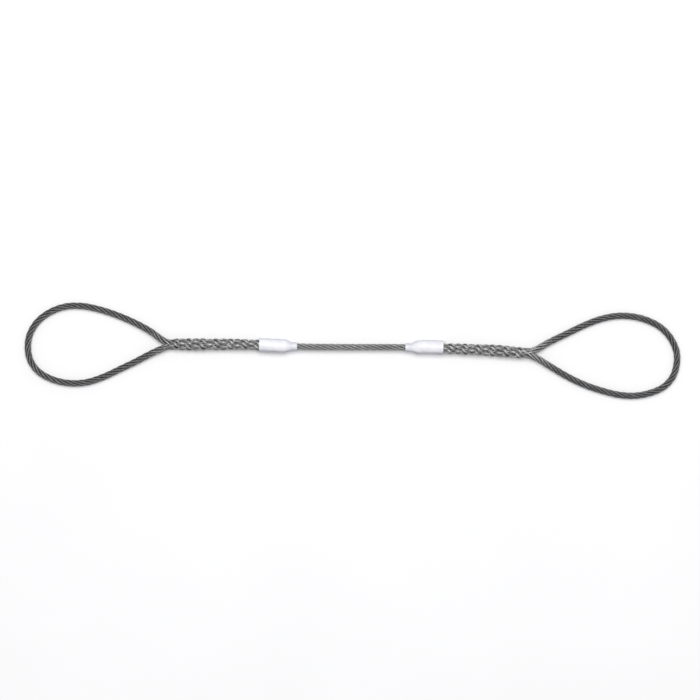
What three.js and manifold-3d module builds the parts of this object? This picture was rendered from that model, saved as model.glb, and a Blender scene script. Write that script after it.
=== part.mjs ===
// Hand-spliced wire rope sling: one length of six-strand rope with an eye spliced in each end.
// Millimetres, +Z up. The sling lies on the floor plane z = 0 with its length along X, and the
// origin is under the middle of it.
import * as THREE from 'three';
import * as BufferGeometryUtils from 'three/addons/utils/BufferGeometryUtils.js';
import Module from 'manifold-3d';

const wasm = await Module();
wasm.setup();

// ---- driving dimensions -------------------------------------------------------------------

const ROPE_DIAMETER = 10;
const ROPE_SIDES = 12;
const CORE_SIDES = 6;
const CORE_DIAMETER = ROPE_DIAMETER * 0.3;
const BORE_DIAMETER = CORE_DIAMETER + 1.2;

const EYE_STEPS = 28;
const STANDING_STEPS = 30;
const LEG_STEPS = 3;

const TAIL_COUNT = 6;
const TAIL_DIAMETER = 2.9;
const TAIL_SIDES = 6;
const TAIL_HELIX_RADIUS = 7.3;
const TAIL_PITCH = 65;
const TAIL_STEPS = 27;
const TAIL_START = 5;
const TAIL_END_IN_SLEEVE = 30;

const SLEEVE_LENGTH = 58;
const SLEEVE_RADIUS = 10.7;
const SLEEVE_BORE_RADIUS = 9.2;
const SLEEVE_TAPER_START = 40;
const SLEEVE_TAPER_END = 54;
const SLEEVE_NECK_RADIUS = 6.9;
const SLEEVE_NECK_BORE_RADIUS = 5.6;
const SLEEVE_EDGE = 0.6;
const SLEEVE_SEGMENTS = 24;

const GAP = 0.3;
const MIDDLE_HINGE_X = 43;
const MIDDLE_BEND_LIMIT = THREE.MathUtils.degToRad(35);
const EYE_BEND_LIMIT = THREE.MathUtils.degToRad(30);
const BEVEL_CLEARANCE = THREE.MathUtils.degToRad(1);
const FAR = 600;

// ---- the rope's route ---------------------------------------------------------------------
// Each eye runs from the crotch, where the rope's own end is spliced in, round the crown and
// back to the crotch. The standing part then runs through the splice and the sleeve to the
// hinge near the middle. At the two hinges each route is cut square across X.

const left = {
  name: 'left',
  outward: -1,
  crotchX: -291,
  eyeHingeX: -321,
  sleeveX: -143.5,
  eye: [
    [-291, 4.5, 9], [-312, -5, 7.6], [-335, -17, 6.1], [-360, -29, 5.1], [-386, -41, 5],
    [-412, -49, 5], [-438, -50, 5], [-464, -44, 5], [-485, -32, 5], [-497.3, -15, 5],
    [-501.2, 5, 5], [-498.2, 25, 5], [-487, 44, 5], [-468, 59, 5], [-444, 68, 5],
    [-418, 69, 5], [-392, 64, 5], [-364, 55, 5.1], [-336, 43, 6.1], [-312, 30, 7.6],
    [-291, 15.1, 9],
  ],
  standing: [
    [-336, 43, 6.1], [-312, 30, 7.6], [-291, 15.1, 9], [-283, 12.1, 9.1], [-273, 10.4, 9.2],
    [-260, 9.8, 9.4], [-225, 9.8, 9.9], [-190, 9.8, 10.4], [-165, 9.5, 10.7],
    [-143.5, 8.8, 10.7], [-124, 8, 10.7], [-105, 7.2, 10.7], [-85.5, 6.4, 10.7],
    [-64, 5.9, 10.7], [-43, 5.7, 10.7],
  ],
};

const right = {
  name: 'right',
  outward: 1,
  crotchX: 281,
  eyeHingeX: 311,
  sleeveX: 139.5,
  eye: [
    [281, 0.9, 9], [304, 13.5, 7.5], [330, 26, 5.9], [356, 38.5, 5.1], [382, 48.5, 5],
    [407, 53.5, 5], [431, 53, 5], [455, 47, 5], [477, 35, 5], [492, 18, 5],
    [500.3, -2, 5], [500.3, -22, 5], [494, -41, 5], [480, -56, 5], [460, -65, 5],
    [436, -69.5, 5], [411, -68, 5], [386, -62, 5], [358, -52.5, 5.1], [330, -39, 5.9],
    [304, -23.5, 7.5], [281, -9.7, 9],
  ],
  standing: [
    [330, -39, 5.9], [304, -23.5, 7.5], [281, -9.7, 9], [273, -6.6, 9.1], [263, -4.4, 9.2],
    [248, -2.4, 9.4], [222, -0.1, 9.9], [190, 1.5, 10.4], [162, 2.6, 10.7],
    [139.5, 3.3, 10.7], [120, 3.9, 10.7], [101, 4.5, 10.7], [81.5, 5.1, 10.7],
    [62, 5.4, 10.7], [43, 5.5, 10.7],
  ],
};

const middleRoute = [[-43, 5.7, 10.7], [0, 5.5, 10.7], [43, 5.5, 10.7]];

// ---- materials ----------------------------------------------------------------------------

function steelMaterial() {
  return new THREE.MeshStandardMaterial({ color: 0x7c7c7b, roughness: 0.45, metalness: 0.85 });
}

function tailMaterial() {
  return new THREE.MeshStandardMaterial({ color: 0x6f706f, roughness: 0.5, metalness: 0.85 });
}

function fibreMaterial() {
  return new THREE.MeshStandardMaterial({ color: 0x8a7a55, roughness: 0.95, metalness: 0 });
}

function sleeveMaterial() {
  return new THREE.MeshStandardMaterial({ color: 0xf0f0f4, roughness: 0.35, metalness: 0 });
}

// ---- curves -------------------------------------------------------------------------------

// A route whose cross-section stays level: its first axis is horizontal, its second points up.
class LevelRoute extends THREE.CatmullRomCurve3 {
  computeFrenetFrames(segments) {
    const frames = { tangents: [], normals: [], binormals: [] };
    const up = new THREE.Vector3(0, 0, 1);
    for (let i = 0; i <= segments; i += 1) {
      const tangent = this.getTangentAt(i / segments).normalize();
      const side = new THREE.Vector3().crossVectors(up, tangent).normalize();
      frames.tangents.push(tangent);
      frames.normals.push(side);
      frames.binormals.push(new THREE.Vector3().crossVectors(tangent, side));
    }
    return frames;
  }
}

function routeThrough(points) {
  return new LevelRoute(points.map((p) => new THREE.Vector3(...p)), false, 'centripetal');
}

// The point of a route at a given x, for a stretch on which x only grows or only falls.
function pointAtX(route, x) {
  const rising = route.getPoint(1).x > route.getPoint(0).x;
  let low = 0;
  let high = 1;
  for (let i = 0; i < 40; i += 1) {
    const middle = (low + high) / 2;
    if (route.getPoint(middle).x < x === rising) {
      low = middle;
    } else {
      high = middle;
    }
  }
  return route.getPoint(low);
}

// One tucked strand: a left-handed helix round the standing part, against the rope's lay.
class TuckedStrand extends THREE.Curve {
  constructor(route, startX, endX, phase) {
    super();
    this.route = route;
    this.startX = startX;
    this.endX = endX;
    this.phase = phase;
  }

  getPoint(t, target = new THREE.Vector3()) {
    const x = THREE.MathUtils.lerp(this.startX, this.endX, t);
    const centre = pointAtX(this.route, x);
    const angle = this.phase - (2 * Math.PI * x) / TAIL_PITCH;
    const y = centre.y + TAIL_HELIX_RADIUS * Math.cos(angle);
    const z = centre.z + TAIL_HELIX_RADIUS * Math.sin(angle);
    return target.set(x, y, z);
  }
}

// ---- solids -------------------------------------------------------------------------------

// A regular polygon whose flats face the section's two axes.
function polygonPoints(sides, apothem) {
  const corner = apothem / Math.cos(Math.PI / sides);
  const points = [];
  for (let i = 0; i < sides; i += 1) {
    const angle = (2 * Math.PI * (i + 0.5)) / sides;
    points.push(new THREE.Vector2(corner * Math.cos(angle), corner * Math.sin(angle)));
  }
  return points;
}

function ropeSection() {
  const shape = new THREE.Shape(polygonPoints(ROPE_SIDES, ROPE_DIAMETER / 2));
  shape.holes.push(new THREE.Path(polygonPoints(CORE_SIDES, BORE_DIAMETER / 2)));
  return shape;
}

function coreSection() {
  return new THREE.Shape(polygonPoints(CORE_SIDES, CORE_DIAMETER / 2));
}

function tailSection() {
  const apothem = (TAIL_DIAMETER / 2) * Math.cos(Math.PI / TAIL_SIDES);
  return new THREE.Shape(polygonPoints(TAIL_SIDES, apothem));
}

function sweep(section, route, steps) {
  return new THREE.ExtrudeGeometry(section, { steps, extrudePath: route });
}

function toSolid(geometry) {
  const bare = geometry.clone();
  bare.deleteAttribute('normal');
  bare.deleteAttribute('uv');
  const merged = BufferGeometryUtils.mergeVertices(bare, 1e-4);
  return new wasm.Manifold(new wasm.Mesh({
    numProp: 3,
    vertProperties: new Float32Array(merged.attributes.position.array),
    triVerts: new Uint32Array(merged.index.array),
  }));
}

function toGeometry(solid) {
  const mesh = solid.getMesh();
  const geometry = new THREE.BufferGeometry();
  geometry.setAttribute('position', new THREE.BufferAttribute(mesh.vertProperties, 3));
  geometry.setIndex(new THREE.BufferAttribute(mesh.triVerts, 1));
  geometry.computeVertexNormals();
  return geometry;
}

// A prism across the whole width in Y, from an outline in the XZ plane.
function crossPrism(outline) {
  const shape = new THREE.Shape(outline.map(([x, z]) => new THREE.Vector2(x, z)));
  const geometry = new THREE.ExtrudeGeometry(shape, { depth: 2 * FAR, bevelEnabled: false });
  geometry.rotateX(Math.PI / 2);
  geometry.translate(0, FAR, 0);
  return toSolid(geometry);
}

// Everything between two planes square to X.
function slab(fromX, toX) {
  return crossPrism([[fromX, -FAR], [toX, -FAR], [toX, FAR], [fromX, FAR]]);
}

// What the outer piece of a hinge loses above the hinge line, so that it can fold upwards.
function foldBevel(hingeX, hingeZ, outward, limit) {
  const face = hingeX + (outward * GAP) / 2;
  const reach = FAR * Math.tan(limit + BEVEL_CLEARANCE);
  const inner = face - outward * FAR;
  const corners = [[inner, hingeZ], [face, hingeZ], [face + outward * reach, hingeZ + FAR],
    [inner, hingeZ + FAR]];
  return crossPrism(outward > 0 ? corners : corners.reverse());
}

function outside(hingeX, outward) {
  const face = hingeX + (outward * GAP) / 2;
  return outward > 0 ? slab(face, FAR) : slab(-FAR, face);
}

function inside(hingeX, outward) {
  const face = hingeX - (outward * GAP) / 2;
  return outward > 0 ? slab(-FAR, face) : slab(face, FAR);
}

function node(name, geometry, material) {
  const mesh = new THREE.Mesh(geometry, material);
  mesh.name = name;
  return mesh;
}

// ---- sub-parts ----------------------------------------------------------------------------

// The loop of the eye, outboard of its hinge, in rope and in core.
function addEye(group, side, hingeZ) {
  const route = routeThrough(side.eye);
  const keep = outside(side.eyeHingeX, side.outward);
  const bevel = foldBevel(side.eyeHingeX, hingeZ, side.outward, EYE_BEND_LIMIT);
  const rope = toSolid(sweep(ropeSection(), route, EYE_STEPS)).intersect(keep).subtract(bevel);
  const core = toSolid(sweep(coreSection(), route, EYE_STEPS)).intersect(keep).subtract(bevel);
  group.add(node(`${side.name}_eye_rope`, toGeometry(rope), steelMaterial()));
  group.add(node(`${side.name}_eye_core`, toGeometry(core), fibreMaterial()));
}

// The short stretch of the rope's own end between the eye and the crotch.
function addTailLeg(group, side) {
  const route = routeThrough(side.eye.slice(0, 3));
  const crotchFace = side.crotchX + side.outward * GAP;
  const keep = inside(side.eyeHingeX, side.outward)
    .intersect(side.outward > 0 ? slab(crotchFace, FAR) : slab(-FAR, crotchFace));
  const rope = toSolid(sweep(ropeSection(), route, LEG_STEPS)).intersect(keep);
  const core = toSolid(sweep(coreSection(), route, LEG_STEPS)).intersect(keep);
  group.add(node(`${side.name}_tail_leg_rope`, toGeometry(rope), steelMaterial()));
  group.add(node(`${side.name}_tail_leg_core`, toGeometry(core), fibreMaterial()));
}

// The standing part: from the eye hinge through the splice and sleeve to the middle hinge.
function addStandingPart(group, side) {
  const route = routeThrough(side.standing);
  const middleX = side.outward * MIDDLE_HINGE_X;
  const middleZ = side.standing.at(-1)[2];
  const keep = inside(side.eyeHingeX, side.outward).intersect(outside(middleX, side.outward));
  const bevel = foldBevel(middleX, middleZ, side.outward, MIDDLE_BEND_LIMIT);
  const steps = STANDING_STEPS;
  const rope = toSolid(sweep(ropeSection(), route, steps)).intersect(keep).subtract(bevel);
  const core = toSolid(sweep(coreSection(), route, steps)).intersect(keep).subtract(bevel);
  group.add(node(`${side.name}_standing_rope`, toGeometry(rope), steelMaterial()));
  group.add(node(`${side.name}_standing_core`, toGeometry(core), fibreMaterial()));
}

// The six strands of the rope's own end, tucked round the standing part as far as the sleeve.
function addTuckedStrands(group, side) {
  const route = routeThrough(side.standing);
  const startX = side.crotchX - side.outward * TAIL_START;
  const endX = side.sleeveX - side.outward * TAIL_END_IN_SLEEVE;
  for (let i = 0; i < TAIL_COUNT; i += 1) {
    const strand = new TuckedStrand(route, startX, endX, (2 * Math.PI * i) / TAIL_COUNT);
    const geometry = sweep(tailSection(), strand, TAIL_STEPS);
    group.add(node(`${side.name}_tucked_strand_${i + 1}`, toGeometry(toSolid(geometry)),
      tailMaterial()));
  }
}

// The white sleeve: full bore over the strand ends, then drawn in to the bare rope.
function sleeveGeometry() {
  const profile = [
    [SLEEVE_BORE_RADIUS, 0],
    [SLEEVE_RADIUS - SLEEVE_EDGE, 0],
    [SLEEVE_RADIUS, SLEEVE_EDGE],
    [SLEEVE_RADIUS, SLEEVE_TAPER_START],
    [SLEEVE_NECK_RADIUS, SLEEVE_TAPER_END],
    [SLEEVE_NECK_RADIUS, SLEEVE_LENGTH - SLEEVE_EDGE],
    [SLEEVE_NECK_RADIUS - SLEEVE_EDGE, SLEEVE_LENGTH],
    [SLEEVE_NECK_BORE_RADIUS, SLEEVE_LENGTH],
    [SLEEVE_NECK_BORE_RADIUS, SLEEVE_TAPER_END],
    [SLEEVE_BORE_RADIUS, SLEEVE_TAPER_START],
    [SLEEVE_BORE_RADIUS, 0],
  ].map(([radius, along]) => new THREE.Vector2(radius, along));
  return new THREE.LatheGeometry(profile, SLEEVE_SEGMENTS);
}

function addSleeve(group, side) {
  const route = routeThrough(side.standing);
  const start = pointAtX(route, side.sleeveX);
  const end = pointAtX(route, side.sleeveX - side.outward * SLEEVE_LENGTH);
  const mesh = node(`${side.name}_sleeve`, toGeometry(toSolid(sleeveGeometry())), sleeveMaterial());
  const direction = new THREE.Vector3().subVectors(end, start).normalize();
  mesh.position.copy(start);
  mesh.quaternion.setFromUnitVectors(new THREE.Vector3(0, 1, 0), direction);
  group.add(mesh);
}

function addMiddle(group) {
  const route = routeThrough(middleRoute);
  const half = MIDDLE_HINGE_X - GAP / 2;
  const rope = toSolid(sweep(ropeSection(), route, 2)).intersect(slab(-half, half));
  const core = toSolid(sweep(coreSection(), route, 2)).intersect(slab(-half, half));
  group.add(node('middle_rope', toGeometry(rope), steelMaterial()));
  group.add(node('middle_core', toGeometry(core), fibreMaterial()));
}

// ---- assembly -----------------------------------------------------------------------------

const sling = new THREE.Group();
for (const side of [left, right]) {
  const hingeZ = pointAtX(routeThrough(side.eye.slice(0, 3)), side.eyeHingeX).z;
  addEye(sling, side, hingeZ);
  addTailLeg(sling, side);
  addStandingPart(sling, side);
  addTuckedStrands(sling, side);
  addSleeve(sling, side);
}
addMiddle(sling);

export default sling;
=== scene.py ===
"""The looks of a hand-spliced wire rope sling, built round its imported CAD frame.

Every strand of the rope is one continuous path: from the middle of the sling through its own
splice, round the eye, and back into the splice as a tucked strand that ends under the sleeve.
Each strand is a mesh of laid wires along that path, cut into pieces where the sling can bend.
Lengths are in metres.
"""

import math

import bpy
import numpy as np
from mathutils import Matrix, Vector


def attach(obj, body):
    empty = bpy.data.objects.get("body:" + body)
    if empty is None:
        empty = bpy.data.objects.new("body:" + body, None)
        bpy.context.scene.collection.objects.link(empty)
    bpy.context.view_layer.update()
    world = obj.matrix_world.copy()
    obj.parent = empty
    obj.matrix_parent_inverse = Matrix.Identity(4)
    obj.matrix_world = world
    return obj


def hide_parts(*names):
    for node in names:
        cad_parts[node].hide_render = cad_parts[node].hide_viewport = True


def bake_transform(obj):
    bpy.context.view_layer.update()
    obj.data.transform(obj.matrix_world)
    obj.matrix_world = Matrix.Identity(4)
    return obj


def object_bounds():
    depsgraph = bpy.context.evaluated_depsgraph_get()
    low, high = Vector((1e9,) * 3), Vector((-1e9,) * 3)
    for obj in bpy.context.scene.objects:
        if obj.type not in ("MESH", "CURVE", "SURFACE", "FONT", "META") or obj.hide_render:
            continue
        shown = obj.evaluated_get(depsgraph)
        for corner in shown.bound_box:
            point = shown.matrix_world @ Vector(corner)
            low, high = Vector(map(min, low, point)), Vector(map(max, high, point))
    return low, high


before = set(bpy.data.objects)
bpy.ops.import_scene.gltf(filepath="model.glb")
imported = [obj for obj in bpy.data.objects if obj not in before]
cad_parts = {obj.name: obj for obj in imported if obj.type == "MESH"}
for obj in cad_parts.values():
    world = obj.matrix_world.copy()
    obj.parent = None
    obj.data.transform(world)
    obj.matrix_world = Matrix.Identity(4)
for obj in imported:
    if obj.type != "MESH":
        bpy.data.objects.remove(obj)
CAD_LOW, CAD_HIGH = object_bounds()
TINY = 1e-9

# ---- sizes of the rope and its splices -----------------------------------------------------

ROPE_DIAMETER = 0.010
ROPE_RADIUS = ROPE_DIAMETER / 2
STRAND_COUNT = 6
STRAND_RADIUS = 0.001633
STRAND_CIRCLE = ROPE_RADIUS - STRAND_RADIUS  # from the rope's centre to a strand's
ROPE_LAY = 0.065  # one turn of a strand round the rope

CORE_RADIUS = 0.0017
CORE_RADIUS_IN_SPLICE = 0.0031
CORE_SIDES = 14
CORE_YARNS = 3
CORE_YARN_SWELL = 0.06

WIRE_COUNT = 15
WIRE_RADIUS = 0.00028
WIRE_LAY = 0.025  # one turn of a wire round its strand
POINTS_PER_WIRE = 3
STATION_STEP = 0.0016  # between the rings of every strand

WEAVE_LAY_STANDING = 0.080
WEAVE_LAY_TUCKED = 0.320
WEAVE_CIRCLE_AT_CROTCH = 0.0052  # mean distance of the woven strands from the splice's centre
WEAVE_CIRCLE_AT_SLEEVE = 0.0043
WEAVE_NARROWS_FROM = 0.3  # of the way from the crotch to the sleeve
TUCKED_RADIUS_AT_SLEEVE = 0.00130  # some wires are cut out of a strand before it ends
WEAVE_FADE_IN = 0.026
WEAVE_FLATTENING = 0.15  # of a strand's radius, where it is pressed on the others
WEAVE_SWELL = 0.07  # of a strand's radius, where it is worked loose
WEAVE_SWAY = math.radians(5)
WEAVE_LIFT = 0.0004
WOBBLE_LENGTHS = (0.019, 0.027, 0.041)
RANDOM_SEED = 11

SETTLE_ROUNDS = 120
SETTLE_ROOM = 1.03  # of the distance at which two strands touch
SETTLE_PUSH = 0.25
SETTLE_KEEP = 0.995
SETTLE_END_STATIONS = 3  # over which the push fades in at each end of the splice

LAY_CHANGE = 0.020  # length over which a strand goes from the rope's lay to the weave's
LEG_ZONE = 0.012  # past the crotch, where the two legs of the eye still touch
TUCKED_END_IN_SLEEVE = 0.028
STANDING_CLOSES_IN_SLEEVE = 0.034

# ---- the rope's route, as the CAD part runs it ---------------------------------------------

LEFT_STANDING = [
    (0.0000, 0.0055, 0.0107), (-0.0430, 0.0057, 0.0107), (-0.0640, 0.0059, 0.0107),
    (-0.0855, 0.0064, 0.0107), (-0.1050, 0.0072, 0.0107), (-0.1240, 0.0080, 0.0107),
    (-0.1435, 0.0088, 0.0107), (-0.1650, 0.0095, 0.0107), (-0.1900, 0.0098, 0.0104),
    (-0.2250, 0.0098, 0.0099), (-0.2600, 0.0098, 0.0094), (-0.2730, 0.0104, 0.0092),
    (-0.2830, 0.0121, 0.0091),
]
LEFT_EYE = [
    (-0.2910, 0.0151, 0.0090), (-0.3120, 0.0300, 0.0076), (-0.3360, 0.0430, 0.0061),
    (-0.3640, 0.0550, 0.0051), (-0.3920, 0.0640, 0.0050), (-0.4180, 0.0690, 0.0050),
    (-0.4440, 0.0680, 0.0050), (-0.4680, 0.0590, 0.0050), (-0.4870, 0.0440, 0.0050),
    (-0.4982, 0.0250, 0.0050), (-0.5012, 0.0050, 0.0050), (-0.4973, -0.0150, 0.0050),
    (-0.4850, -0.0320, 0.0050), (-0.4640, -0.0440, 0.0050), (-0.4380, -0.0500, 0.0050),
    (-0.4120, -0.0490, 0.0050), (-0.3860, -0.0410, 0.0050), (-0.3600, -0.0290, 0.0051),
    (-0.3350, -0.0170, 0.0061), (-0.3120, -0.0050, 0.0076), (-0.2910, 0.0045, 0.0090),
]
LEFT_TUCKED = [
    (-0.2830, 0.0075, 0.0091), (-0.2730, 0.0092, 0.0092), (-0.2600, 0.0098, 0.0094),
    (-0.2250, 0.0098, 0.0099), (-0.1900, 0.0098, 0.0104), (-0.1650, 0.0095, 0.0107),
    (-0.1435, 0.0088, 0.0107), (-0.1240, 0.0080, 0.0107), (-0.1050, 0.0072, 0.0107),
]
RIGHT_STANDING = [
    (0.0000, 0.0055, 0.0107), (0.0430, 0.0055, 0.0107), (0.0620, 0.0054, 0.0107),
    (0.0815, 0.0051, 0.0107), (0.1010, 0.0045, 0.0107), (0.1200, 0.0039, 0.0107),
    (0.1395, 0.0033, 0.0107), (0.1620, 0.0026, 0.0107), (0.1900, 0.0015, 0.0104),
    (0.2220, -0.0001, 0.0099), (0.2480, -0.0024, 0.0094), (0.2630, -0.0044, 0.0092),
    (0.2730, -0.0066, 0.0091),
]
RIGHT_EYE = [
    (0.2810, -0.0097, 0.0090), (0.3040, -0.0235, 0.0075), (0.3300, -0.0390, 0.0059),
    (0.3580, -0.0525, 0.0051), (0.3860, -0.0620, 0.0050), (0.4110, -0.0680, 0.0050),
    (0.4360, -0.0695, 0.0050), (0.4600, -0.0650, 0.0050), (0.4800, -0.0560, 0.0050),
    (0.4940, -0.0410, 0.0050), (0.5003, -0.0220, 0.0050), (0.5003, -0.0020, 0.0050),
    (0.4920, 0.0180, 0.0050), (0.4770, 0.0350, 0.0050), (0.4550, 0.0470, 0.0050),
    (0.4310, 0.0530, 0.0050), (0.4070, 0.0535, 0.0050), (0.3820, 0.0485, 0.0050),
    (0.3560, 0.0385, 0.0051), (0.3300, 0.0260, 0.0059), (0.3040, 0.0135, 0.0075),
    (0.2810, 0.0009, 0.0090),
]
RIGHT_TUCKED = [
    (0.2730, -0.0014, 0.0091), (0.2630, -0.0024, 0.0092), (0.2480, -0.0022, 0.0094),
    (0.2220, -0.0001, 0.0099), (0.1900, 0.0015, 0.0104), (0.1620, 0.0026, 0.0107),
    (0.1395, 0.0033, 0.0107), (0.1200, 0.0039, 0.0107), (0.1010, 0.0045, 0.0107),
]
# outward is the sign of X on that side. crotch, sleeve and hinge are places along X, and sleeve is
# the sleeve's outer mouth. sleeve_shift is how far the loose sleeve has slipped to one side.
SIDES = [
    {"name": "left", "outward": -1, "crotch": -0.291, "sleeve": -0.1435, "hinge": -0.321,
     "sleeve_shift": 0.0, "first_angle": math.pi,
     "standing": LEFT_STANDING, "eye": LEFT_EYE, "tucked": LEFT_TUCKED},
    {"name": "right", "outward": 1, "crotch": 0.281, "sleeve": 0.1395, "hinge": 0.311,
     "sleeve_shift": 0.0018, "first_angle": 0.0,
     "standing": RIGHT_STANDING, "eye": RIGHT_EYE, "tucked": RIGHT_TUCKED},
]

# ---- camera --------------------------------------------------------------------------------

VIEW_WIDTH = 1.080
VIEW_CENTRE = (-0.0039, 0.0010)
ROPE_HEIGHT = 0.007
CAMERA_LENS = 120  # in millimetres, as the sensor
SENSOR_WIDTH = 36
CAMERA_REACH = 100


def make_camera():
    """A long lens straight above the sling, with its length across the picture."""
    data = bpy.data.cameras.new("camera")
    data.lens = CAMERA_LENS
    data.sensor_width = SENSOR_WIDTH
    data.clip_end = CAMERA_REACH
    camera = bpy.data.objects.new("camera", data)
    height = VIEW_WIDTH * CAMERA_LENS / SENSOR_WIDTH + ROPE_HEIGHT
    camera.location = (VIEW_CENTRE[0], VIEW_CENTRE[1], height)
    bpy.context.scene.collection.objects.link(camera)
    bpy.context.scene.camera = camera


# ---- curves --------------------------------------------------------------------------------

def smooth(x, start, end):
    """0 before start, 1 after end, and a smooth step between them."""
    t = np.clip((np.asarray(x, float) - start) / (end - start), 0, 1)
    return t * t * (3 - 2 * t)


def centripetal_curve(points, per_span=40):
    """A dense centripetal Catmull-Rom curve through the points, which runs straight at its ends."""
    p = np.array(points, float)
    p = np.vstack([2 * p[0] - p[1], p, 2 * p[-1] - p[-2]])
    dense = []
    for a, b, c, d in zip(p, p[1:], p[2:], p[3:]):
        ta, tb, tc = (np.linalg.norm(v) ** 0.5 for v in (b - a, c - b, d - c))
        slope_b = ((b - a) / ta - (c - a) / (ta + tb) + (c - b) / tb) * tb
        slope_c = ((c - b) / tb - (d - b) / (tb + tc) + (d - c) / tc) * tb
        t = np.linspace(0, 1, per_span, endpoint=False)[:, None]
        dense.append((2 * t**3 - 3 * t**2 + 1) * b + (t**3 - 2 * t**2 + t) * slope_b
                     + (-2 * t**3 + 3 * t**2) * c + (t**3 - t**2) * slope_c)
    dense.append(p[-2][None])
    return np.vstack(dense)


def arc_length(points):
    """The length along the line up to each of its points."""
    steps = np.linalg.norm(np.diff(points, axis=0), axis=1)
    return np.concatenate([[0], np.cumsum(steps)])


def resample(points, step):
    """The same line with evenly spaced points about step apart."""
    s = arc_length(points)
    wanted = np.linspace(0, s[-1], max(2, int(round(s[-1] / step)) + 1))
    return np.column_stack([np.interp(wanted, s, points[:, k]) for k in range(3)])


def tangents(points):
    """The line's direction at each of its points."""
    t = np.gradient(points, axis=0)
    return t / np.linalg.norm(t, axis=1)[:, None]


def level_frames(points):
    """Tangent, horizontal side and up of a line that nowhere runs straight up."""
    t = tangents(points)
    side = np.cross((0, 0, 1), t)
    side /= np.linalg.norm(side, axis=1)[:, None]
    return t, side, np.cross(t, side)


def transported_normals(points, first):
    """The tangents, and normals that start near first and turn with the line but not round it."""
    t = tangents(points)
    normals = np.empty_like(points)
    n = first - t[0] * (first @ t[0])
    normals[0] = n / np.linalg.norm(n)
    for i in range(1, len(points)):
        n = normals[i - 1] - t[i] * (normals[i - 1] @ t[i])
        normals[i] = n / np.linalg.norm(n)
    return t, normals


# ---- strand paths --------------------------------------------------------------------------

def side_guide(side):
    """The rope's centre line on one side, and the first station of its weave, eye and way back.

    It runs from the middle of the sling out to the crotch, round the eye, and back from the
    crotch to the end of the tucked strands. In the splice its way out and its way back have
    stations at the same x, so that strands can be woven station by station.
    """
    outward = side["outward"]
    line = resample(centripetal_curve(side["standing"] + side["eye"] + side["tucked"]),
                    STATION_STEP)
    in_eye = np.flatnonzero(outward * line[:, 0] > outward * side["crotch"] + LEG_ZONE)
    first, last = in_eye[0], in_eye[-1]
    out, eye, back = line[:first], line[first:last + 1], line[last + 1:]
    woven = outward * out[:, 0] > outward * side["sleeve"] - TUCKED_END_IN_SLEEVE
    woven_from = int(np.flatnonzero(woven)[0])
    woven_x = out[woven_from:][::-1, 0]
    back = line_at(back, outward, woven_x)
    return np.vstack([out, eye, back]), woven_from, len(out), len(out) + len(eye)


def line_at(line, outward, x):
    """The points at the given x of a line that runs along X."""
    reach = outward * line[:, 0]
    order = np.argsort(reach)
    return np.column_stack([x] + [np.interp(outward * x, reach[order], line[order, k])
                                  for k in (1, 2)])


def wobble(random, s):
    """A smooth random wave of about unit size along a length."""
    waves = np.zeros(len(s))
    for length in WOBBLE_LENGTHS:
        waves += np.sin(2 * math.pi * (s / length + random.random())) / len(WOBBLE_LENGTHS)
    return waves


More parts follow.
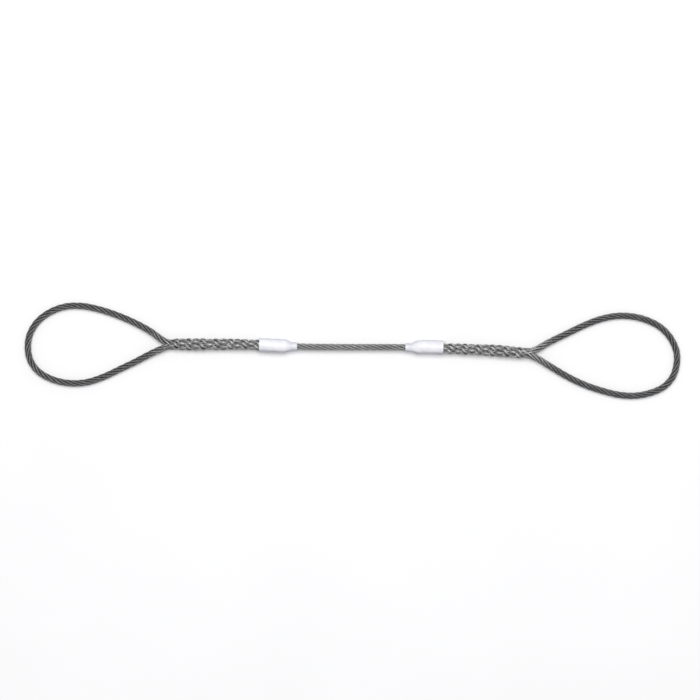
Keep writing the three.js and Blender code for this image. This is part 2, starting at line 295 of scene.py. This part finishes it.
def woven_strands(side, random):
    """A side's rope as its guide, its strands' centre lines and radius, and how woven it is.

    A strand turns at the rope's lay outside the splice. In the splice the standing strands and
    the tucked ones turn opposite ways, and change between over and under at every crossing.
    """
    guide, woven_from, eye_from, eye_to = side_guide(side)
    count = len(guide)
    index = np.arange(count)
    s = arc_length(guide)
    depth = side["outward"] * (side["crotch"] - guide[:, 0])
    sleeve_depth = side["outward"] * (side["crotch"] - side["sleeve"])
    going_out = index < eye_from
    coming_back = index >= eye_to
    in_splice = smooth(depth, -LAY_CHANGE / 2, LAY_CHANGE / 2)
    past_tails = smooth(depth, sleeve_depth + TUCKED_END_IN_SLEEVE,
                        sleeve_depth + STANDING_CLOSES_IN_SLEEVE)
    rope_rate = 2 * math.pi / ROPE_LAY
    standing_rate = 2 * math.pi / WEAVE_LAY_STANDING
    tucked_rate = -2 * math.pi / WEAVE_LAY_TUCKED
    share = np.where(going_out, in_splice * (1 - past_tails), np.where(coming_back, in_splice, 0))
    woven_rate = np.where(coming_back, tucked_rate, standing_rate)
    rate = rope_rate * (1 - share) + woven_rate * share
    turned = np.concatenate([[0], np.cumsum((rate[1:] + rate[:-1]) / 2 * np.diff(s))])
    angle = side["first_angle"] + turned

    fade = np.where(going_out | coming_back, smooth(depth, 0, WEAVE_FADE_IN), 0)
    fade = np.where(going_out, fade * (1 - past_tails), fade)
    along = smooth(depth, WEAVE_NARROWS_FROM * sleeve_depth, sleeve_depth)
    tucked_radius = STRAND_RADIUS + (TUCKED_RADIUS_AT_SLEEVE - STRAND_RADIUS) * along
    radius = np.where(coming_back, tucked_radius, STRAND_RADIUS) * (1 + WEAVE_SWELL * fade)
    circle = WEAVE_CIRCLE_AT_CROTCH + (WEAVE_CIRCLE_AT_SLEEVE - WEAVE_CIRCLE_AT_CROTCH) * along
    lift = (STRAND_RADIUS + tucked_radius) / 2

    # An angle counts from +Y where the guide runs along +X, and from -Y where it runs back.
    along_x = going_out if side["outward"] > 0 else ~going_out
    world_angle = np.where(along_x, angle, math.pi - angle)
    over = np.zeros(count)
    standing = np.arange(woven_from, eye_from)
    tucked = count - 1 - np.arange(len(standing))
    crossing = np.cos(STRAND_COUNT // 2 * (world_angle[standing] - world_angle[tucked]))
    over[standing] = crossing
    over[tucked] = -crossing
    ring = STRAND_CIRCLE * (1 - fade) + (circle + lift * over) * fade

    _, across, up = level_frames(guide)
    strands = []
    for k in range(STRAND_COUNT):
        turn = angle + 2 * math.pi * k / STRAND_COUNT + fade * WEAVE_SWAY * wobble(random, s)
        out = ring + fade * WEAVE_LIFT * wobble(random, s)
        strands.append(guide + out[:, None] * (np.cos(turn)[:, None] * across
                                               + np.sin(turn)[:, None] * up))
    strands = settle(np.array(strands), radius, standing, tucked)
    return {"guide": guide, "strands": strands, "radius": radius, "woven": fade,
            "way_out": eye_from}


def settle(strands, radius, standing, tucked):
    """Pushes apart strands that would run through each other in the splice.

    Each station is a slice across the splice with twelve round strands in it. A push is spread
    along the strand, because a strand is too stiff to take it in one place.
    """
    slices = np.concatenate([strands[:, standing, 1:], strands[:, tucked, 1:]])
    radii = np.concatenate([np.tile(radius[standing], (STRAND_COUNT, 1)),
                            np.tile(radius[tucked], (STRAND_COUNT, 1))])
    start = slices.copy()
    room = (radii[:, None] + radii[None]) * SETTLE_ROOM
    station = np.arange(len(standing))
    ends = (smooth(station, 0, SETTLE_END_STATIONS)
            * smooth(station[::-1], 0, SETTLE_END_STATIONS))
    for _ in range(SETTLE_ROUNDS):
        apart = slices[:, None] - slices[None]
        distance = np.linalg.norm(apart, axis=3)
        overlap = np.where(distance > TINY, np.maximum(room - distance, 0), 0)
        direction = apart / np.maximum(distance, TINY)[..., None]
        slices = slices + SETTLE_PUSH * (overlap[..., None] * direction).sum(1)
        moved = slices - start
        moved[:, 1:-1] = (moved[:, :-2] + 2 * moved[:, 1:-1] + moved[:, 2:]) / 4
        slices = start + moved * SETTLE_KEEP * ends[None, :, None]
    settled = strands.copy()
    settled[:, standing, 1:] = slices[:STRAND_COUNT]
    settled[:, tucked, 1:] = slices[STRAND_COUNT:]
    return settled


# ---- meshes --------------------------------------------------------------------------------

def new_object(name, vertices, quads, caps, attributes, material, normals=None):
    """A linked mesh object with smooth quads, flat caps and a number per vertex for each label."""
    mesh = bpy.data.meshes.new(name)
    mesh.from_pydata(vertices.tolist(), [], quads.tolist() + caps)
    smooth_faces = np.arange(len(mesh.polygons)) < len(quads)
    mesh.polygons.foreach_set("use_smooth", smooth_faces)
    for label, values in attributes.items():
        attribute = mesh.attributes.new(label, "FLOAT", "POINT")
        attribute.data.foreach_set("value", np.asarray(values, np.float32))
    mesh.materials.append(material)
    mesh.update()
    if normals is not None:
        mesh.normals_split_custom_set_from_vertices(normals.tolist())
    obj = bpy.data.objects.new(name, mesh)
    bpy.context.scene.collection.objects.link(obj)
    return obj


def tube_faces(rings, sides, first):
    """Quads between rings of a tube whose vertices start at first, and its two end caps."""
    ring = np.arange(rings - 1)[:, None] * sides
    here = np.arange(sides)[None]
    following = (here + 1) % sides
    quads = np.stack([ring + here, ring + following, ring + sides + following,
                      ring + sides + here], -1).reshape(-1, 4) + first
    start = (np.arange(sides)[::-1] + first).tolist()
    end = (np.arange(sides) + (rings - 1) * sides + first).tolist()
    return quads, [start, end]


def wire_section():
    """Angles, radii and grooves of a strand's outline: a ring of round wires."""
    circle = STRAND_RADIUS - WIRE_RADIUS
    pitch = 2 * math.pi / WIRE_COUNT
    offsets = np.linspace(-0.5, 0.5, POINTS_PER_WIRE, endpoint=False) * pitch
    angles = (np.arange(WIRE_COUNT)[:, None] * pitch + offsets[None]).ravel()
    off = np.tile(offsets, WIRE_COUNT)
    across = circle * np.sin(off)
    crest = np.sqrt(np.maximum(WIRE_RADIUS**2 - across**2, 0))
    radii = circle * np.cos(off) + crest
    groove = 1 - (radii - radii.min()) / (radii.max() - radii.min())
    return angles, radii / STRAND_RADIUS, groove


def strand_surface(path, radius, centre, flat, wires):
    """One laid strand's points and normals, and how deep and how hidden each point is.

    flat is how much the strand is pressed towards centre, as a share of its radius.
    """
    section_angle, section_radius, section_groove = wires
    tangent, normal = transported_normals(path, path[0] - centre[0])
    binormal = np.cross(tangent, normal)
    turn = -2 * math.pi * arc_length(path)[:, None] / WIRE_LAY + section_angle[None]
    direction = (np.cos(turn)[..., None] * normal[:, None]
                 + np.sin(turn)[..., None] * binormal[:, None])
    away = path - centre
    away -= tangent * (away * tangent).sum(1)[:, None]
    away /= np.maximum(np.linalg.norm(away, axis=1), TINY)[:, None]
    outward = (direction * away[:, None]).sum(2)
    size = (radius[:, None] * section_radius[None])[..., None]
    offset = direction * size * (1 + flat)[:, None, None]
    offset -= away[:, None] * (outward[..., None] * size * 2 * flat[:, None, None])
    points = path[:, None] + offset
    along = np.gradient(points, axis=0)
    around = np.roll(points, -1, axis=1) - np.roll(points, 1, axis=1)
    normals = np.cross(around, along)
    normals /= np.linalg.norm(normals, axis=2)[..., None]
    groove = np.tile(section_groove, (len(path), 1))
    return {"points": points, "normals": normals, "groove": groove, "inward": 0.5 - 0.5 * outward}


def strands_object(name, surfaces, start, stop, material):
    """One object of some strands, between two of their stations."""
    rings, sides = stop - start, surfaces[0]["groove"].shape[1]
    quads, caps = [], []
    for k in range(len(surfaces)):
        strand_quads, strand_caps = tube_faces(rings, sides, k * rings * sides)
        quads.append(strand_quads)
        caps.extend(strand_caps)

    def joined(key, width):
        return np.concatenate([surface[key][start:stop].reshape(-1, width)
                               for surface in surfaces])

    attributes = {"groove": joined("groove", 1).ravel(), "inward": joined("inward", 1).ravel()}
    return new_object(name, joined("points", 3), np.vstack(quads), caps, attributes, material,
                      joined("normals", 3))


def rings_round(path, angle, size):
    """A ring of points round each point of the path, at the sizes given for every angle."""
    _, side, up = level_frames(path)
    return path[:, None] + size[..., None] * (np.cos(angle)[None, :, None] * side[:, None]
                                              + np.sin(angle)[None, :, None] * up[:, None])


def core_object(name, data, start, stop, material):
    """The fibre core: a round bar with three shallow yarns laid along it."""
    path = data["guide"][start:stop]
    woven = data["woven"][start:stop]
    size = CORE_RADIUS + (CORE_RADIUS_IN_SPLICE - CORE_RADIUS) * woven
    angle = np.linspace(0, 2 * math.pi, CORE_SIDES, endpoint=False)
    lay = 2 * math.pi * arc_length(path) / (ROPE_LAY / CORE_YARNS)
    swell = 1 + CORE_YARN_SWELL * np.cos(CORE_YARNS * (angle[None] + lay[:, None]))
    points = rings_round(path, angle, size[:, None] * swell)
    quads, caps = tube_faces(len(path), CORE_SIDES, 0)
    return new_object(name, points.reshape(-1, 3), quads, caps, {}, material)


# ---- sleeves -------------------------------------------------------------------------------

SLEEVE_LENGTH = 0.058
SLEEVE_OUTER = 0.0104
SLEEVE_WALL = 0.0011
SLEEVE_NECK = 0.0065
SLEEVE_TAPER_FROM = 0.037
SLEEVE_TAPER_TO = 0.052
SLEEVE_SHIFT_FADES_FROM = 0.6  # of the way to the taper
SLEEVE_FLARE = 0.00025
SLEEVE_FLARE_LENGTH = 0.004
SLEEVE_RIM = 0.0003
SLEEVE_RINGS = 90
SLEEVE_SIDES = 96

STRANDS_SHOW_THROUGH = 0.00010
ROPE_SHOWS_THROUGH = 0.00016
SLEEVE_WAVE = 0.00012
SLEEVE_WAVE_RATE = 90  # radians along a metre

# Painted shade on the sleeve's -Y flank, the side turned away from the key lamp: where it begins
# and where it is full.
SIDE_SHADE_FROM = 0.55  # as a share of the sleeve's radius, towards -Y
SIDE_SHADE_TO = 0.95


def sleeve_unevenness(along, drawn, angle):
    """Waves of the plastic, and the ridges of what lies under it."""
    splice_lay = 2 * math.pi * along / WEAVE_LAY_STANDING
    strands_under = STRANDS_SHOW_THROUGH * (1 - drawn)[:, None] * np.cos(
        STRAND_COUNT * angle[None] - STRAND_COUNT * splice_lay[:, None])
    rope_under = ROPE_SHOWS_THROUGH * drawn[:, None] * np.cos(
        STRAND_COUNT * (angle[None] - 2 * math.pi * along[:, None] / ROPE_LAY))
    waves = SLEEVE_WAVE * np.sin(2 * angle[None] + along[:, None] * SLEEVE_WAVE_RATE)
    return waves + strands_under + rope_under


def lip(outside, inside, end, before_end):
    """A mouth's edge: a ring midway in the wall, a little past the end of the centre line."""
    way = (end - before_end) / np.linalg.norm(end - before_end)
    return (outside + inside) / 2 + way * SLEEVE_RIM


def wrapped_quads(rings, sides):
    """Quads between rings, each ring closed on itself and the last one joined to the first."""
    ring = np.arange(rings)[:, None] * sides
    following_ring = (np.arange(rings)[:, None] + 1) % rings * sides
    here = np.arange(sides)[None]
    following = (here + 1) % sides
    return np.stack([ring + here, ring + following, following_ring + following,
                     following_ring + here], -1).reshape(-1, 4)


def sleeve_object(side, way_out, material):
    """A thin-walled sleeve of white plastic: a full barrel, a soft shoulder and a tight neck."""
    along = np.linspace(0, SLEEVE_LENGTH, SLEEVE_RINGS)
    centre = line_at(way_out, side["outward"], side["sleeve"] - side["outward"] * along)
    centre[:, 1] += side["sleeve_shift"] * (
        1 - smooth(along, SLEEVE_SHIFT_FADES_FROM * SLEEVE_TAPER_FROM, SLEEVE_TAPER_TO))
    angle = np.linspace(0, 2 * math.pi, SLEEVE_SIDES, endpoint=False)
    drawn = smooth(along, SLEEVE_TAPER_FROM, SLEEVE_TAPER_TO)
    flare = SLEEVE_FLARE * (1 - smooth(along, 0, SLEEVE_FLARE_LENGTH))
    outer = SLEEVE_OUTER + (SLEEVE_NECK - SLEEVE_OUTER) * drawn + flare
    size = outer[:, None] + sleeve_unevenness(along, drawn, angle)
    outside = rings_round(centre, angle, size)
    inside = rings_round(centre, angle, size - SLEEVE_WALL)
    loop = np.concatenate([outside, lip(outside[-1:], inside[-1:], centre[-1], centre[-2]),
                           inside[::-1], lip(outside[:1], inside[:1], centre[0], centre[1])])
    _, across, up = level_frames(centre)
    # Painted shade: marks the sleeve's -Y flank, turned away from the key lamp, to be greyed in the
    # material.
    facing = -(np.cos(angle) * across[0, 1] + np.sin(angle) * up[0, 1])
    painted_side_shade = np.tile(smooth(facing, SIDE_SHADE_FROM, SIDE_SHADE_TO), len(loop))
    return new_object(f"{side['name']}_white_sleeve", loop.reshape(-1, 3),
                      wrapped_quads(len(loop), SLEEVE_SIDES), [], {"painted_side_shade": painted_side_shade}, material)


# ---- materials -----------------------------------------------------------------------------

TONE_REACH = 0.5  # where the distances in TONES reach 1
MIDDLE_TONE = (0.66, 0.66, 0.66)
SPLICE_TONE = (0.88, 0.88, 0.88)
EYE_TONE = (0.33, 0.33, 0.335)
TONES = [(0.20, MIDDLE_TONE), (0.27, SPLICE_TONE), (0.53, SPLICE_TONE), (0.63, EYE_TONE)]

ROPE_BRIGHT, ROPE_DULL = (0.60, 0.60, 0.60), (0.36, 0.36, 0.36)
ROPE_GREASE = (0.066, 0.065, 0.062)
TUCKED_BRIGHT, TUCKED_DULL = (0.62, 0.62, 0.62), (0.37, 0.37, 0.375)
TUCKED_GREASE = (0.068, 0.067, 0.064)
GROOVE_DIRT = 0.55
HIDDEN_DIRT_POWER = 1.4
DIRT_SHARE = 0.8
SMEAR_SHARE = 0.35
CLEAN_BELOW = 0.12

FIBRE_DARK, FIBRE_LIGHT = (0.030, 0.022, 0.013), (0.11, 0.085, 0.05)

PLASTIC_DULL, PLASTIC_BRIGHT = (0.69, 0.69, 0.73), (0.76, 0.76, 0.79)
PLASTIC_SCUFF = (0.84, 0.84, 0.87)
# Painted shade: a lavender grey low on the sleeve, which darkens its edges as seen from above and
# the whole neck.
PLASTIC_EDGE_SHADE = (0.50, 0.50, 0.57)
# Painted shade for the sleeve's -Y flank.
PLASTIC_SIDE_SHADE = (0.38, 0.38, 0.42)
# Heights in metres over which the painted edge shade comes in.
EDGE_SHADE_BELOW = 0.0200
EDGE_SHADE_FULLY_BELOW = 0.0125
# The least share of the painted side shade that its mottle lets through.
SIDE_SHADE_MOTTLE_LEAST = (0.45, 0.45, 0.45)
WHITE = (1, 1, 1)

SIDE_SHADE_MOTTLE_SCALE = (0.3, 1, 1)  # under 1 stretches a pattern along the rope
SCUFF_SCALE = (0.25, 1, 1)
YARN_SCALE = (0.2, 1, 1)


def new_material(name, metallic, roughness, specular=0.5):
    """A material with its node tree and its shader."""
    material = bpy.data.materials.new(name)
    material.use_nodes = True
    shader = material.node_tree.nodes["Principled BSDF"]
    shader.inputs["Metallic"].default_value = metallic
    shader.inputs["Roughness"].default_value = roughness
    shader.inputs["Specular IOR Level"].default_value = specular
    return material, material.node_tree, shader


def add(tree, kind, **settings):
    """A new node with the given properties."""
    node = tree.nodes.new(kind)
    for key, value in settings.items():
        setattr(node, key, value)
    return node


def noise(tree, scale, detail=3.0, stretch=(1, 1, 1)):
    """Noise over the object's own coordinates, in metres, stretched along its axes."""
    place = add(tree, "ShaderNodeTexCoord")
    mapping = add(tree, "ShaderNodeMapping")
    mapping.inputs["Scale"].default_value = stretch
    texture = add(tree, "ShaderNodeTexNoise")
    texture.inputs["Scale"].default_value = scale
    texture.inputs["Detail"].default_value = detail
    tree.links.new(place.outputs["Object"], mapping.inputs["Vector"])
    tree.links.new(mapping.outputs["Vector"], texture.inputs["Vector"])
    return texture.outputs["Fac"]


def ramp(tree, source, stops):
    """A colour for each value of source, between the (place, colour) stops."""
    node = add(tree, "ShaderNodeValToRGB")
    elements = node.color_ramp.elements
    while len(elements) < len(stops):
        elements.new(0.5)
    for element, (place, colour) in zip(elements, stops):
        element.position = place
        element.color = (*colour, 1)
    tree.links.new(source, node.inputs["Fac"])
    return node.outputs["Color"]


def mix(tree, factor, first, second, blend_type="MIX"):
    """A colour between first and second. Each input is a socket or a plain value."""
    node = add(tree, "ShaderNodeMix", data_type="RGBA", blend_type=blend_type)
    for socket, value in ((node.inputs[0], factor), (node.inputs[6], first),
                          (node.inputs[7], second)):
        if isinstance(value, bpy.types.NodeSocket):
            tree.links.new(value, socket)
        elif isinstance(value, tuple):
            socket.default_value = (*value, 1)
        else:
            socket.default_value = value
    return node.outputs[2]


def math_node(tree, operation, first, second, clamp=False):
    """The result of an operation on two inputs, each a socket or a number."""
    node = add(tree, "ShaderNodeMath", operation=operation, use_clamp=clamp)
    for socket, value in zip(node.inputs, (first, second)):
        if isinstance(value, bpy.types.NodeSocket):
            tree.links.new(value, socket)
        else:
            socket.default_value = value
    return node.outputs[0]


def bump(tree, shader, height, strength, distance):
    """A bump map on the shader, from a pattern of heights."""
    node = add(tree, "ShaderNodeBump")
    node.inputs["Strength"].default_value = strength
    node.inputs["Distance"].default_value = distance
    tree.links.new(height, node.inputs["Height"])
    tree.links.new(node.outputs["Normal"], shader.inputs["Normal"])


def uneven_gloss(tree, shader, pattern, spread, smoothest):
    """Roughness that follows a pattern, from smoothest to spread above it."""
    rough = math_node(tree, "ADD", math_node(tree, "MULTIPLY", pattern, spread), smoothest)
    tree.links.new(rough, shader.inputs["Roughness"])


def own_place(tree):
    """X, Y and Z in the object's own coordinates."""
    place = add(tree, "ShaderNodeTexCoord")
    split = add(tree, "ShaderNodeSeparateXYZ")
    tree.links.new(place.outputs["Object"], split.inputs["Vector"])
    return split.outputs


def mesh_number(tree, label):
    """The number that the mesh holds for each vertex under this label."""
    return add(tree, "ShaderNodeAttribute", attribute_name=label).outputs["Fac"]


def tone_along_sling(tree):
    """A grey for each distance from the middle: lighter over the splices and darker round the eyes.
    """
    reach = math_node(tree, "ABSOLUTE", own_place(tree)["X"], 0)
    return ramp(tree, math_node(tree, "DIVIDE", reach, TONE_REACH), TONES)


def wire_material(name, bright, dull, grease):
    """Drawn galvanised wire: mottled zinc, worn crests, and grease down in the grooves."""
    material, tree, shader = new_material(name, 0.85, 0.42)
    zinc = ramp(tree, noise(tree, 260, 4), [(0.35, dull), (0.65, bright)])
    toned = mix(tree, math_node(tree, "MULTIPLY", noise(tree, 35, 2), 0.5), zinc, dull)
    hidden = math_node(tree, "POWER", mesh_number(tree, "inward"), HIDDEN_DIRT_POWER, True)
    in_grooves = math_node(tree, "MULTIPLY", mesh_number(tree, "groove"), GROOVE_DIRT)
    settled = math_node(tree, "MULTIPLY", math_node(tree, "ADD", in_grooves, hidden, True),
                        DIRT_SHARE)
    smear = math_node(tree, "MULTIPLY", noise(tree, 90, 3), SMEAR_SHARE)
    dirt = math_node(tree, "SUBTRACT", math_node(tree, "ADD", settled, smear, True),
                     CLEAN_BELOW, True)
    coat = mix(tree, dirt, toned, grease)
    tree.links.new(mix(tree, 1.0, coat, tone_along_sling(tree), "MULTIPLY"),
                   shader.inputs["Base Color"])
    uneven_gloss(tree, shader, noise(tree, 420, 2), 0.25, 0.28)
    bump(tree, shader, noise(tree, 2600, 2), 0.25, 0.00004)
    return material


def fibre_material():
    """Greased hemp yarn."""
    material, tree, shader = new_material("fibre_core", 0.0, 0.8, 0.3)
    yarn = ramp(tree, noise(tree, 900, 4, YARN_SCALE), [(0.3, FIBRE_DARK), (0.7, FIBRE_LIGHT)])
    tree.links.new(yarn, shader.inputs["Base Color"])
    bump(tree, shader, noise(tree, 1500, 3, YARN_SCALE), 0.6, 0.0002)
    return material


def sleeve_material():
    """White shrink plastic: uneven and softly glossy, with painted shade in lavender grey on its
    lower half and a darker painted shade on its -Y flank.
    """
    material, tree, shader = new_material("white_sleeve", 0.0, 0.38, 0.45)
    tone = ramp(tree, noise(tree, 70, 4), [(0.3, PLASTIC_DULL), (0.65, PLASTIC_BRIGHT)])
    scuffs = ramp(tree, noise(tree, 240, 5, SCUFF_SCALE),
                  [(0.62, WHITE), (0.80, PLASTIC_SCUFF)])
    scuffed = mix(tree, 1.0, tone, scuffs, "MULTIPLY")
    # Painted shade: lavender grey below a height, mottled by noise, standing in for the shade at
    # the sleeve's edges.
    low = add(tree, "ShaderNodeMapRange", interpolation_type="SMOOTHSTEP")
    low.inputs["From Min"].default_value = EDGE_SHADE_BELOW
    low.inputs["From Max"].default_value = EDGE_SHADE_FULLY_BELOW
    tree.links.new(own_place(tree)["Z"], low.inputs["Value"])
    edge_shade_share = math_node(tree, "MULTIPLY", low.outputs["Result"],
                       math_node(tree, "ADD", noise(tree, 120, 3), 0.45), True)
    with_edge_shade = mix(tree, edge_shade_share, scuffed, PLASTIC_EDGE_SHADE)
    # Painted shade on the sleeve's -Y flank, broken up by a stretched noise.
    side_shade_mottle = ramp(tree, noise(tree, 150, 5, SIDE_SHADE_MOTTLE_SCALE),
                  [(0.36, SIDE_SHADE_MOTTLE_LEAST), (0.62, WHITE)])
    side_shade_share = math_node(tree, "MULTIPLY", mesh_number(tree, "painted_side_shade"), side_shade_mottle)
    tree.links.new(mix(tree, side_shade_share, with_edge_shade, PLASTIC_SIDE_SHADE), shader.inputs["Base Color"])
    uneven_gloss(tree, shader, noise(tree, 180, 3), 0.22, 0.28)
    shader.inputs["Subsurface Weight"].default_value = 0.12
    shader.inputs["Subsurface Radius"].default_value = (0.002, 0.002, 0.0022)
    bump(tree, shader, noise(tree, 380, 4), 0.18, 0.0003)
    return material


def floor_material():
    """Plain pale ground, almost even."""
    material, tree, shader = new_material("floor", 0.0, 0.9, 0.1)
    tone = ramp(tree, noise(tree, 3, 2), [(0.3, (0.81, 0.81, 0.81)), (0.7, (0.83, 0.83, 0.83))])
    tree.links.new(tone, shader.inputs["Base Color"])
    return material


# ---- floor and light -----------------------------------------------------------------------

FLOOR_SIZE = 30
FLOOR_GAP = 0.0002
WORLD_COLOUR = (0.965, 0.965, 1.0)
WORLD_STRENGTH = 0.42
KEY_ENERGY = 190  # in watts
KEY_SIZE = 3.0
KEY_PLACE = (0.0, 1.0, 4.25)


def make_floor():
    """The ground that the sling lies on."""
    mesh = bpy.data.meshes.new("floor")
    half = FLOOR_SIZE / 2
    mesh.from_pydata([(-half, -half, 0), (half, -half, 0), (half, half, 0), (-half, half, 0)],
                     [], [(0, 1, 2, 3)])
    mesh.materials.append(floor_material())
    floor = bpy.data.objects.new("floor", mesh)
    floor.location.z = CAD_LOW[2] - FLOOR_GAP
    bpy.context.scene.collection.objects.link(floor)


def make_light():
    """Soft light from all round, and one large lamp above the sling that faces its middle."""
    world = bpy.data.worlds.new("studio")
    world.use_nodes = True
    background = world.node_tree.nodes["Background"]
    background.inputs["Color"].default_value = (*WORLD_COLOUR, 1)
    background.inputs["Strength"].default_value = WORLD_STRENGTH
    bpy.context.scene.world = world
    light = bpy.data.lights.new("key", "AREA")
    light.energy = KEY_ENERGY
    light.size = KEY_SIZE
    key = bpy.data.objects.new("key", light)
    key.location = KEY_PLACE
    key.rotation_euler = (-math.atan2(KEY_PLACE[1], KEY_PLACE[2]), 0, 0)
    bpy.context.scene.collection.objects.link(key)
    bpy.context.scene.view_settings.view_transform = "Standard"


# ---- assembly ------------------------------------------------------------------------------

PIECE_CUT_AT_CROTCH = 0.002  # outward of the crotch
PIECE_CUT_IN_SLEEVE = 0.044  # inward of the sleeve's outer mouth


def bend(piece):
    """Moves the piece's placement into its mesh."""
    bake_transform(piece)


def rope_stretch(names, surfaces, data, start, stop, steel, fibre):
    """The strands and the fibre core between two stations, for the CAD nodes they stand for."""
    piece, strand_nodes, core_nodes = names
    strands = strands_object(f"{piece}_strands", surfaces, start, stop, steel)
    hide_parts(*strand_nodes)
    core = core_object(f"{piece}_fibre_core", data, start, stop, fibre)
    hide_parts(*core_nodes)
    return strands, core


def build_side(side, random, wires, steel, tucked_steel, fibre, plastic):
    """Half the sling: its eye, its half of the middle rope, its splice and its sleeve."""
    name, outward = side["name"], side["outward"]
    splice = f"{name}_splice"
    data = woven_strands(side, random)
    guide = data["guide"]
    flat = WEAVE_FLATTENING * data["woven"]
    surfaces = [strand_surface(path, data["radius"], guide, flat, wires)
                for path in data["strands"]]
    reach = outward * guide[:, 0]
    in_eye = np.flatnonzero(reach >= outward * side["crotch"] + PIECE_CUT_AT_CROTCH)
    eye_from, eye_to = int(in_eye[0]), int(in_eye[-1]) + 1
    in_sleeve = np.flatnonzero(reach > outward * side["sleeve"] - PIECE_CUT_IN_SLEEVE)
    half_to = int(in_sleeve[0])

    names = (f"{name}_eye", [f"{name}_eye_rope", f"{name}_tail_leg_rope"],
             [f"{name}_eye_core", f"{name}_tail_leg_core"])
    loop = rope_stretch(names, surfaces, data, eye_from, eye_to, steel, fibre)
    for piece in loop:
        bend(piece)

    names = (f"{name}_half", ["middle_rope"], ["middle_core"])
    half = rope_stretch(names, surfaces, data, 0, half_to, steel, fibre)
    for piece in half:
        bend(piece)

    names = (f"{name}_standing", [f"{name}_standing_rope"], [f"{name}_standing_core"])
    for piece in rope_stretch(names, surfaces, data, half_to - 1, eye_from + 1, steel, fibre):
        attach(piece, splice)

    for k, surface in enumerate(surfaces, 1):
        tucked = strands_object(f"{name}_tucked_strand_{k}_wires", [surface], eye_to - 1,
                                len(guide), tucked_steel)
        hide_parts(f"{name}_tucked_strand_{k}")
        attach(tucked, splice)

    sleeve = sleeve_object(side, guide[:data["way_out"]], plastic)
    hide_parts(f"{name}_sleeve")
    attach(sleeve, splice)


def main():
    make_camera()
    wires = wire_section()
    steel = wire_material("rope_steel", ROPE_BRIGHT, ROPE_DULL, ROPE_GREASE)
    tucked_steel = wire_material("tucked_strand_steel", TUCKED_BRIGHT, TUCKED_DULL, TUCKED_GREASE)
    fibre = fibre_material()
    plastic = sleeve_material()
    random = np.random.default_rng(RANDOM_SEED)
    for side in SIDES:
        build_side(side, random, wires, steel, tucked_steel, fibre, plastic)
    make_floor()
    make_light()


main()
